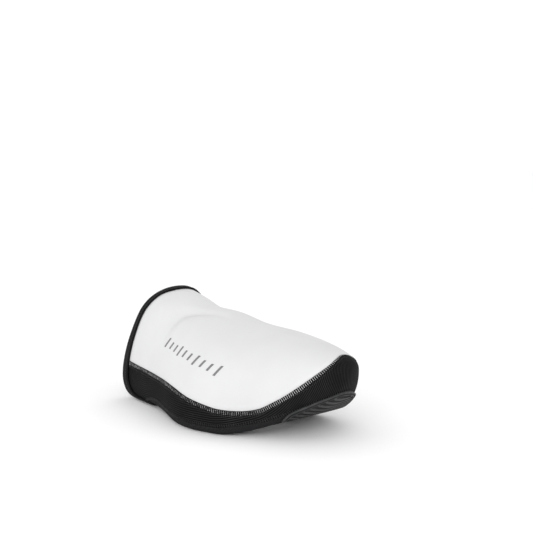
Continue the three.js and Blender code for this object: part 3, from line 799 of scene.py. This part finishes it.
def add_sole():
    hem = hem_place(COLUMNS)
    hem = hem - GAP / 2 / per_unit(COLUMNS, hem)
    lap = np.interp(FLAT_SHARES, *LAP.T) - SET_BACK * (FLAT_SHARES < BORDER)
    dip = np.concatenate([np.zeros(len(TURN_SHARES) - len(TUCK)), TUCK[:, 1]])
    places = ARCH + (hem - ARCH)[:, None] * TURN_SHARES
    border = bare(COLUMNS, ARCH + 0 * COLUMNS)
    k = np.linspace(0, 1, REAR_COLUMNS)[:, None]
    arch = border[-1] * (1 - k) + border[0] * k
    arch[:, 1] -= ARCH_BOW * 4 * (k * (1 - k))[:, 0]
    outer, inner = [], []
    for grids, lift, rise in ((outer, lap, -dip), (inner, -WALL, -WALL)):
        flat = on_sole(border[:, None], FLAT_SHARES, lift)
        rear = on_sole(arch[:, None], FLAT_SHARES, lift)
        rear[0], rear[-1] = flat[-1], flat[0]
        grids += [np.concatenate([flat, skin(COLUMNS[:, None], places, rise)], 1), rear]
    mesh = wall_mesh("black_sole", outer, inner, [grid_uv(grid) for grid in outer])
    add_piece("black_sole", mesh, woven_cloth(), "black_sole_fabric", "sole_panel")


add_sole()

# ------------ rear binding
# Elastic knitted tape, folded over the raw rear edge of all panels and sewn through. It runs round
# the opening and under the arch, and grips the shoe.
TAPE_CLOTH, TAPE_GAP = 1.0, 0.45  # mm
TAPE_STEPS, TAPE_SAMPLES = 9, 24  # rings from one station to the next, and points it is measured at
ARCH_RUN = 3.0  # places over which the tape bows forward under the arch
TAPE_DARK = (0.009, 0.009, 0.0095)
TAPE_LIGHT = (0.032, 0.032, 0.0335)
# stations of the tape from the crest to the middle of the arch:
# place of its outer edge, place of its inner edge, y of the inner edge lateral and medial
TAPE = np.array([
    (3.0, 3.0, 74.5, 74.5),
    (2.75, 2.75, 76.0, 75.5),
    (2.5, 2.5, 80.3, 78.5),
    (2.25, 2.25, 84.5, 81.3),
    (2.0, 2.0, 88.4, 83.5),
    (1.75, 1.76, 91.2, 86.0),
    (1.5, 1.53, 93.4, 89.6),
    (1.26, 1.27, 96.2, 93.2),
    (1.04, 1.05, 99.3, 97.3),
    (0.85, 0.88, 101.0, 99.0),
    (0.68, 0.75, 101.2, 99.2),
    (0.5, 0.63, 100.2, 98.2),
    (0.3, 0.51, 98.3, 96.3),
    (0.12, 0.42, 95.6, 93.6),
    (-0.04, 0.35, 92.0, 90.0),
    (-0.16, 0.30, 87.0, 85.5),
    (-0.27, 0.27, 80.5, 79.5),
    (-0.36, 0.25, 74.0, 73.0),
    (-0.44, 0.20, 67.5, 66.5),
    (-0.52, 0.05, 61.0, 60.0),
    (-0.70, -0.35, 57.0, 56.0),
    (-1.2, -1.1, 55.5, 54.5),
    (-2.0, -2.0, 54.8, 54.0),
    (-2.8, -2.8, 54.1, 53.7),
])


def knitted_tape():
    f = Finish("black_knitted_tape")
    where = f.place()
    u, v = f.cloth()
    loops = (u + v * 0.6).wave(0.0011) * (u - v * 0.6).wave(0.0011)
    speck = f.grain(where, 1600.0, 2.0, 0.7)
    middle = v.smooth(0.15, 0.35) * (1 - v.smooth(0.65, 0.9))
    return f.finished(
        base_color=f.mix(middle * (0.3 + loops * 0.5) + speck * 0.15, TAPE_DARK, TAPE_LIGHT),
        roughness=0.66 + speck * 0.18,
        specular_ior_level=BLACK_SHINE,
        normal=f.bump(loops + speck * 0.4, 0.00016, 0.8),
    )


def on_side(side, y, place, lift=0.0):
    """Points of the cloth behind the ball, and their outward directions."""
    side, y, place = np.broadcast_arrays(np.asarray(side, float), np.asarray(y, float), place)
    rib = rib_at(side, y)
    deep = np.broadcast_to(np.asarray(lift) < -WALL / 2, place.shape)
    d, p = step_at(place, deep), measured(place, deep)
    ahead, behind = (on_rib(rib_at(side, at), p) for at in (y - HALF_MM, y + HALF_MM))
    climb = on_rib(rib, np.minimum(p + d, CREST)) - on_rib(rib, p - d)
    out = unit(np.cross(ahead - behind, climb)) * -side[..., None]
    out = settled(out, place, deep, along["crest"].slope(y), sole_normal(y))
    return on_rib(rib, place) + out * (lift + relief(rib, place))[..., None], out


# the folded tape in cross-section, one side of it: distance from its outer edge, in mm up to EDGE_MM
# and as a share of what is left beyond, and height of its face over a plain tape, mm
EDGE_MM, TAPE_MIDDLE, TAPE_END = 1.5, 2.0, 2.5
TAPE_PROFILE = np.array(
    [(2.5, -0.5), (2.49, -0.25), (2.45, -0.08), (2.37, 0.0), (2.2, -0.02), (2.0, -0.05), (1.8, -0.02)]
    + [(1.65, -0.02), (1.5, -0.06), (0.9, -0.25), (0.4, -0.7), (0.1, -1.4), (0.0, -2.2)]
)


def tape_section():
    """The whole cross-section: outer side, fold, inner side, and back along the cloth it holds."""
    out = TAPE_GAP + TAPE_CLOTH
    outer = [(inset, out + proud) for inset, proud in TAPE_PROFILE]
    inner = [(inset, -WALL - out - proud) for inset, proud in TAPE_PROFILE[::-1]]
    held = [(inset, -WALL - TAPE_GAP) for inset in (TAPE_END, TAPE_MIDDLE, TAPE_CLOTH)]
    held += [(inset, -WALL - lift) for inset, lift in held[::-1]]
    return np.array(outer + [(0.0, -WALL / 2)] + inner + held)


def tape_rings(section):
    """Cross-sections of the tape round its whole loop: lateral crest, arch, medial crest."""
    stations = np.arange(len(TAPE))
    steps = np.linspace(0, stations[-1], stations[-1] * TAPE_STEPS + 1)
    place_out, place_in, *edges_in = (Spline(stations, c)(steps)[:, None] for c in TAPE.T)
    bow = ARCH_BOW * np.sin(np.clip((ARCH - place_out) / ARCH_RUN, 0, 1) * np.pi / 2)
    shares = np.linspace(0, 1, TAPE_SAMPLES)
    halves = []
    for side, edge, y_in in zip((-1.0, 1.0), (rear_lateral, rear_medial), edges_in):
        y_out = edge(np.maximum(place_out, ARCH)) - bow

        def tape(share, lift=0.0):
            y, place = y_out + (y_in - y_out) * share, place_out + (place_in - place_out) * share
            return on_side(side, y, place, lift)

        run = running(np.linalg.norm(np.diff(tape(shares)[0], axis=1), axis=2), 1)
        wide = EDGE_MM + (section[:, 0] - EDGE_MM) * (run[:, -1:] - EDGE_MM)
        inset = np.where(section[:, 0] <= EDGE_MM, section[:, 0], wide)
        share = np.array([np.interp(i, r, shares) for i, r in zip(inset, run)])
        halves.append(tape(share, np.broadcast_to(section[:, 1], share.shape)))
    return [np.concatenate([left, right[::-1][:-1]]) for left, right in zip(*halves)]


def add_binding():
    section = tape_section()
    rings, _ = tape_rings(section)
    count, size = rings.shape[:2]
    middle = rings[:, np.flatnonzero(section[:, 0] == TAPE_MIDDLE)[0]]
    run = running(np.linalg.norm(np.diff(middle, axis=0, append=middle[:1]), axis=1)) * MM
    faces, coords = [], []
    for k, s in np.ndindex(count, size):
        after, beside = (k + 1) % count, (s + 1) % size
        faces.append((k * size + s, k * size + beside, after * size + beside, after * size + s))
        v0, v1 = section[s, 0] / TAPE_END, section[beside, 0] / TAPE_END
        coords += [(run[k], v0), (run[k], v1), (run[k + 1], v1), (run[k + 1], v0)]
    mesh = bpy.data.meshes.new("black_edge_tape")
    mesh.from_pydata(to_metres(rings.reshape(-1, 3)).tolist(), [], faces)
    mesh.shade_smooth()
    mesh.uv_layers.new(name="cloth").data.foreach_set("uv", np.array(coords).ravel())
    add_piece("black_edge_tape", mesh, knitted_tape(), "black_binding", "rear_binding")


add_binding()

# ------------ toe patch
# Moulded dark grey rubber under the toe, bonded to the cloth, with a raised rim and nested rounded
# ridges that point to the toe: it takes the wear when the foot is put down.
PATCH = np.array(
    [(-38, 0.23), (-33, 0.32), (-27, 0.34), (-21, 0.32), (-15, 0.27), (-5, 0.235), (4, 0.23)]
    + [(10, 0.22), (15, 0.25), (21, 0.28), (27, 0.32), (33, 0.315), (38, 0.23)]
)
PATCH_REAR_Y = -66.0  # its rear edge, mm
PATCH_END, END_SHARE = 5.0, 0.2  # degrees over which its ends are rounded, and width left there
PATCH_COLUMNS, ROWS_UNDER, ROWS_OVER, CORNER_SHARE = 300, 60, 40, 0.3
PATCH_GAP, PATCH_ROUND, EDGE_SHARE = 0.5, 0.8, 0.2  # mm, mm, and height left at the very edge
RIM_HEIGHT, RIDGE_HEIGHT, GROOVE_HEIGHT, RECESS_HEIGHT = 1.3, 1.2, 0.5, 0.45  # mm
RIM_WIDTH, RECESS_WIDTH, LAND_WIDTH = 1.1, 1.2, 0.6  # mm, from the edge inwards
RIDGE_PITCH, GROOVE_WIDTH, GROOVE_WALL, GROOVE_END, RIM_WALL = 5.3, 2.1, 0.3, 0.7, 0.25  # mm
POCKET, POCKET_IN, POCKET_LENGTH = 0.7, 0.9, 1.1  # wider ends of the grooves, mm
GROOVE_SLOPE, GROOVE_TURN, GROOVE_X, FIRST_GROOVE = 0.5, 6.0, 17.0, -81.0  # their pointed course
RUBBER = (0.023, 0.023, 0.0235)
RUBBER_WORN = (0.048, 0.048, 0.049)
# near black colour painted into the grooves and the recess as shade
RUBBER_GROOVE_SHADE = (0.003, 0.003, 0.003)
RECESS_SHADE_SHARE = 0.8  # how dark the painted shade in the recess is against that in a groove


def rubber():
    f = Finish("dark_grey_rubber")
    where = f.place()
    depth = f.attribute("depth")
    mottle = f.grain(where, 160.0, 4.0, 0.6)
    grit = f.grain(where, 2200.0, 2.0, 0.6)
    face = f.mix(mottle.smooth(0.35, 0.7), RUBBER, RUBBER_WORN)
    return f.finished(
        # painted shade: the grooves and the recess by the rim are coloured darker where shade falls
        # into them
        base_color=f.mix(depth.smooth(0.05, 0.6), face, RUBBER_GROOVE_SHADE),
        roughness=0.5 + mottle * 0.18 + depth * 0.2,
        specular_ior_level=0.3,
        normal=f.bump(grit * 0.6 + mottle * 0.4, 0.00008, 0.6),
    )


def patch_span(angle):
    """Places of its rear and front edge at an angle round the toe."""
    psi = np.radians(np.abs(angle))
    reach = toe["reach"](np.radians(angle))
    high = Spline(PATCH[:, 0], PATCH[:, 1])(angle)
    low = ((BALL["y"] - PATCH_REAR_Y) / np.cos(psi) - reach + SOLE_CORNER) / FLAT_UNIT
    end = np.maximum(0, (np.abs(angle) - PATCH[-1, 0] + PATCH_END) / PATCH_END)
    share = np.maximum(END_SHARE, np.sqrt(np.maximum(0, 1 - end * end)))
    middle = (low + high) / 2
    return middle + (low - middle) * share, middle + (high - middle) * share


def ramp(inside, width):
    """1 inside an edge and 0 outside, over a slope of this width in mm."""
    return smooth(inside / width + 0.5)


def patch_relief(base):
    """Height of the rubber, and how deep each point lies in a groove, which sets the painted shade in
    the hollows.
    """
    border = np.concatenate([base[:, 0], base[:, -1], base[0], base[-1]])
    distance = np.array([np.sqrt(((row[:, None] - border) ** 2).sum(-1).min(1)) for row in base])
    aside = base[..., 0] - GROOVE_X
    turn = np.sqrt(aside**2 + GROOVE_TURN**2)
    back = base[..., 1] + GROOVE_SLOPE * turn - FIRST_GROOVE
    offset = np.abs((back / RIDGE_PITCH + 0.5) % 1 - 0.5) * RIDGE_PITCH
    offset = offset / np.sqrt(1 + (GROOVE_SLOPE * aside / turn) ** 2)
    recess_end = RIM_WIDTH + RECESS_WIDTH
    ends = recess_end + LAND_WIDTH
    pocket = POCKET * np.exp(-(((distance - ends - POCKET_IN) / POCKET_LENGTH) ** 2))
    groove = ramp(GROOVE_WIDTH / 2 + pocket - offset, GROOVE_WALL) * ramp(distance - ends, GROOVE_END)
    recess = ramp(distance - RIM_WIDTH, RIM_WALL) * ramp(recess_end - distance, GROOVE_WALL)
    rim = ramp(RIM_WIDTH - distance, RIM_WALL)
    height = RIDGE_HEIGHT + (GROOVE_HEIGHT - RIDGE_HEIGHT) * groove
    height = height + (RECESS_HEIGHT - height) * recess
    height = height + (RIM_HEIGHT - height) * rim
    rounding = np.sqrt(np.clip(1 - (1 - distance / PATCH_ROUND).clip(0, 1) ** 2, 0, 1))
    height = height * (EDGE_SHARE + (1 - EDGE_SHARE) * rounding)
    return height, np.maximum(groove, recess * RECESS_SHADE_SHARE) * (1 - rim)


def add_patch():
    ease = np.linspace(-1, 1, PATCH_COLUMNS + 1)
    angle = PATCH[0, 0] * np.sin(ease * np.pi / 2) * 0.5 + PATCH[0, 0] * ease * 0.5
    u = 0.5 - angle / 90 * (0.5 - STRAIGHT)
    low, high = patch_span(angle)
    corner = np.maximum(0, low + CORNER_SHARE * (high - low))
    below = low[:, None] + (corner - low)[:, None] * np.linspace(0, 1, ROWS_UNDER + 1)
    above = corner[:, None] + (high - corner)[:, None] * np.linspace(0, 1, ROWS_OVER + 1)[1:]
    places = np.concatenate([below, above], 1)
    base = skin(u[:, None], places, PATCH_GAP)
    height, depth = patch_relief(base)
    outer = skin(u[:, None], places, PATCH_GAP + height)
    mesh = wall_mesh("rubber_toe_patch", [outer], [base], [grid_uv(outer)])
    # the depth attribute darkens the rubber's colour in the hollows as painted shade
    carry(mesh, "depth", np.append(depth, 0 * depth))
    add_piece("rubber_toe_patch", mesh, rubber(), "grey_rubber", "toe_patch")


add_patch()

# ------------ printed mark
# A row of slanted grey bars in thin reflective film, pressed on to the outer side of the upper where
# a maker would put a name. The bars are a plain pattern and stand for no name.
BAR_ROW = np.array([(40, 1.77), (14, 1.775), (-8, 1.755), (-26, 1.69)])  # y and place along the row
BAR_HEIGHTS = (8.5, 6.0, 6.0, 8.5, 6.0, 6.0, 8.5, 6.0, 6.0, 8.5)  # mm
BAR_WIDTH, BAR_LEAN, BAR_FACE, BAR_BACK = 1.9, 0.35, 0.14, 0.02  # mm, slope, and mm off the cloth
BAR_ACROSS, BAR_UP = np.linspace(0.5, -0.5, 4), np.linspace(-0.5, 0.5, 10)  # shares of its size
BAR_SIDE, BAR_STEP = -1, 0.02  # outer side of the foot, and half the step in place that gives its scale
FILM_GREY = (0.15, 0.15, 0.152)


def reflective_film():
    f = Finish("grey_reflective_film")
    where = f.place()
    beads = f.grain(where, 2600.0, 2.0, 0.6)
    return f.finished(
        base_color=f.mix(beads, FILM_GREY, tuple(1.3 * c for c in FILM_GREY)),
        roughness=0.42 + beads * 0.15,
        normal=f.bump(beads, 0.00003, 0.5),
    )


def add_mark():
    middles = np.linspace(BAR_ROW[0, 0], BAR_ROW[-1, 0], len(BAR_HEIGHTS))
    across, up = np.meshgrid(BAR_ACROSS, BAR_UP, indexing="ij")
    outer, inner, uvs = [], [], []
    for middle, height in zip(middles, BAR_HEIGHTS):
        place = np.interp(-middle, -BAR_ROW[:, 0], BAR_ROW[:, 1])
        reach = on_side(BAR_SIDE, middle, np.array([place - BAR_STEP, place + BAR_STEP]))[0]
        unit_mm = np.linalg.norm(np.diff(reach, axis=0)) / (2 * BAR_STEP)
        y = middle + across * BAR_WIDTH - up * height * BAR_LEAN
        places = place + up * height / unit_mm
        outer.append(on_side(BAR_SIDE, y, places, BAR_FACE)[0])
        inner.append(on_side(BAR_SIDE, y, places, BAR_BACK)[0])
        uvs.append(np.stack([across * BAR_WIDTH, up * height], -1) * MM)
    mesh = wall_mesh("printed_bars", outer, inner, uvs)
    add_piece("printed_bars", mesh, reflective_film(), "grey_print")


add_mark()

# ------------ stitching
# Sewing thread laid over the seams: flat ticks across the seam of the upper, a second thin row below
# them, short stitches along the sole hem, round the cleat opening and through the edge tape.
GREY_THREAD = (0.88, 0.88, 0.88)
BLACK_THREAD = (0.016, 0.016, 0.0165)
THREAD_SHADE = 0.12  # how dark the thread is painted towards the rear, against its own colour: painted shade
THREAD_DULLS = (-0.095, -0.05)  # from the toe backwards, metres along the foot, the thread is painted darker as shade


def thread_finish(name, colour):
    f = Finish(name)
    where = f.place()
    strand = f.grain(where, 900.0, 2.0)
    patches = 0.45 + f.grain(where, 420.0, 1.0).smooth(0.4, 0.6) * 0.5
    # painted shade towards the rear, broken up in random patches
    dull = f.along(where, "Y").smooth(*THREAD_DULLS) * patches
    dark = tuple(THREAD_SHADE * c for c in colour)
    return f.finished(
        base_color=f.mix(strand.smooth(0.3, 0.7) * 0.2 + dull, colour, dark),
        roughness=0.5 + strand * 0.2,
        sheen_weight=0.1,
        sheen_roughness=0.4,
        normal=f.bump(strand, 0.00005, 0.6),
    )


# name: pitch, length, thickness and arch of a stitch in metres, unevenness, seed
STITCH_SIZES = "Pitch Length Thread Arch Unevenness Seed".split()
STITCHES = {
    "seam_stitches": (0.00158, 0.0028, 0.00027, 0.0002, 0.12, 3),
    "seam_lock_stitches": (0.00152, 0.0009, 0.0006, 0.0002, 0.12, 4),
    "hem_stitches": (0.0018, 0.0022, 0.0005, 0.0002, 0.10, 5),
    "tape_stitches": (0.0024, 0.0019, 0.00045, 0.0002, 0.06, 6),
    "opening_stitches": (0.0020, 0.0030, 0.00038, 0.00005, 0.08, 7),
}


def stitch_tree():
    """Lays bent threads across a path that carries its outward and crosswise directions."""
    tree = bpy.data.node_groups.new("stitches", "GeometryNodeTree")
    kinds = {"Path": "Geometry", **dict.fromkeys(STITCH_SIZES, "Float")}
    kinds |= {"Seed": "Int", "Material": "Material"}
    for name, kind in kinds.items():
        tree.interface.new_socket(name, in_out="INPUT", socket_type="NodeSocket" + kind)
    tree.interface.new_socket("Stitches", in_out="OUTPUT", socket_type="NodeSocketGeometry")
    g = Nodes(tree)
    given = {name: g.node("NodeGroupInput", output=name) for name in kinds}

    def vector(operation, *values, **named):
        return g.node("ShaderNodeVectorMath", {"operation": operation}, *values, **named)

    def carried(name, kind="FLOAT_VECTOR"):
        return g.node("GeometryNodeInputNamedAttribute", {"data_type": kind}, Name=name)

    curve = g.node("GeometryNodeMeshToCurve", Mesh=given["Path"])
    by_length = {"mode": "LENGTH"}
    points = g.node("GeometryNodeResampleCurve", by_length, Curve=curve, Length=given["Pitch"])
    start = g.node("ShaderNodeCombineXYZ", X=given["Length"] * -0.5)
    end = g.node("ShaderNodeCombineXYZ", X=given["Length"] * 0.5)
    top = g.node("ShaderNodeCombineXYZ", Z=given["Arch"] * 2.0)
    bow = g.node("GeometryNodeCurveQuadraticBezier", Resolution=4, Start=start, Middle=top, End=end)
    ring = g.node("GeometryNodeCurvePrimitiveCircle", Resolution=5, Radius=given["Thread"] * 0.5)
    strand = g.node("GeometryNodeCurveToMesh", Curve=bow, Profile_Curve=ring, Fill_Caps=True)
    spread = vector("SCALE", (1, 1, 1), Scale=given["Unevenness"])
    shake = g.node(
        "FunctionNodeRandomValue",
        {"data_type": "FLOAT_VECTOR"},
        Min=vector("SCALE", spread, Scale=-1),
        Max=spread,
        Seed=given["Seed"],
    )
    turn = g.node(
        "FunctionNodeAxesToRotation",
        {"primary_axis": "Z", "secondary_axis": "X"},
        Primary_Axis=carried("out"),
        Secondary_Axis=vector("ADD", carried("across"), shake),
    )
    size = vector("SCALE", vector("ADD", shake, (1, 1, 1)), Scale=carried("size", "FLOAT"))
    on_points = {"Points": points, "Instance": strand, "Rotation": turn, "Scale": size}
    placed = g.node("GeometryNodeInstanceOnPoints", **on_points)
    real = g.node("GeometryNodeRealizeInstances", Geometry=placed)
    rounded = g.node("GeometryNodeSetShadeSmooth", Geometry=real)
    painted = g.node("GeometryNodeSetMaterial", Geometry=rounded, Material=given["Material"])
    g.node("NodeGroupOutput", None, painted)
    return tree


stitches = stitch_tree()


def add_stitches(name, path, out, across, size, thread):
    """Sews along a path in mm with its outward and crosswise directions and its shares of size."""
    mesh = bpy.data.meshes.new(name + "_path")
    n = len(path)
    mesh.from_pydata(to_metres(path).tolist(), [], [])
    mesh.edges.add(n - 1)
    mesh.edges.foreach_set("vertices", np.stack([np.arange(n - 1), np.arange(1, n)], 1).ravel())
    for key, values in (("out", out), ("across", across), ("size", size * np.ones(n))):
        carry(mesh, key, values)
    guide = new_object(name + "_path", mesh)
    modifier = guide.modifiers.new("stitches", "NODES")
    modifier.node_group = stitches
    values = {"Material": thread, **dict(zip(STITCH_SIZES, STITCHES[name]))}
    for socket in stitches.interface.items_tree:
        if socket.in_out == "INPUT" and socket.name in values:
            modifier[socket.identifier] = values[socket.name]
    bpy.context.view_layer.update()
    graph = bpy.context.evaluated_depsgraph_get()
    made = bpy.data.meshes.new_from_object(guide.evaluated_get(graph))
    guide.modifiers.clear()
    bpy.data.objects.remove(guide)
    made.name = name
    add_piece(name, made, thread, thread.name)


def crosswise(points, out):
    return unit(np.cross(unit(np.gradient(points, axis=0)), out))


def across_cloth(u, place, lift=0.0):
    """Points on the cloth with their outward and downward directions."""
    points, out = skin(u, place, lift), normals(u, place)
    return points, out, crosswise(points, out)


# share of the way from a rear edge to the other, and size of the ticks over the seam
SEAM_TICKS = np.array(
    [(0, 1.2), (0.02, 1.0), (0.05, 0.8), (0.13, 0.8), (0.22, 0.9), (0.29, 1.0)]
    + [(0.42, 1.0), (0.465, 0.7), (0.5, 0.55)]
)
TICK_TOP, TICK_HALF, TICK_LIFT = 0.2, 1.4, 0.15  # below the seam, half a full tick, off the cloth, mm
LOCK_DROP, LOCK_SIZE = 4.3, 0.8  # lock row: mm below the seam, share of the ticks' size
HEM_RISE, HEM_TRIM = 1.6, 60  # hem row: mm above the hem, points left out at each end
TAPE_ROW = 2.24  # row through the tape, measured as in its cross-section
OPENING_ROW, OPENING_SINK = 3.2, 0.1  # row round the opening: mm from its rim, mm into the cloth
line = np.linspace(0.006, 0.994, 1400)
seam_line, hem_line = seam_place(line), hem_place(line)
seam_mm, hem_mm = 1 / per_unit(line, seam_line), 1 / per_unit(line, hem_line)
tick_size = np.interp(np.minimum(line, 1 - line), *SEAM_TICKS.T)
ticks = across_cloth(line, seam_line - (TICK_TOP + TICK_HALF * tick_size) * seam_mm, TICK_LIFT)
locks = across_cloth(line, seam_line - LOCK_DROP * seam_mm)
kept = slice(HEM_TRIM, -HEM_TRIM)
hem_row = across_cloth(line[kept], (hem_line + HEM_RISE * hem_mm)[kept])
tape_row, tape_out = (ring[:, 0] for ring in tape_rings(np.array([[TAPE_ROW, TAPE_GAP + TAPE_CLOTH]])))
turns = np.linspace(0, 2 * np.pi, 400)
outward = np.stack([np.cos(turns), np.sin(turns)], -1)
rim_x, rim_y = opening_point(np.array([OPENING["x"], OPENING["y"]]) + outward)
opening_xy = np.stack([rim_x, rim_y], -1) + OPENING_ROW * outward
opening_out = sole_normal(opening_xy[:, 1])
opening_row = np.concatenate([opening_xy, sole_height(opening_xy[:, 1])[:, None]], 1)
opening_row = opening_row - OPENING_SINK * opening_out

grey_thread = thread_finish("grey_thread", GREY_THREAD)
black_thread = thread_finish("black_thread", BLACK_THREAD)
add_stitches("seam_stitches", *ticks, tick_size, grey_thread)
add_stitches("seam_lock_stitches", *locks, LOCK_SIZE * tick_size, black_thread)
add_stitches("hem_stitches", *hem_row, 1.0, black_thread)
tape_ahead = unit(np.gradient(tape_row, axis=0))
add_stitches("tape_stitches", tape_row, tape_out, tape_ahead, 1.0, black_thread)
opening_across = crosswise(opening_row, opening_out)
add_stitches("opening_stitches", opening_row, opening_out, opening_across, 1.0, black_thread)
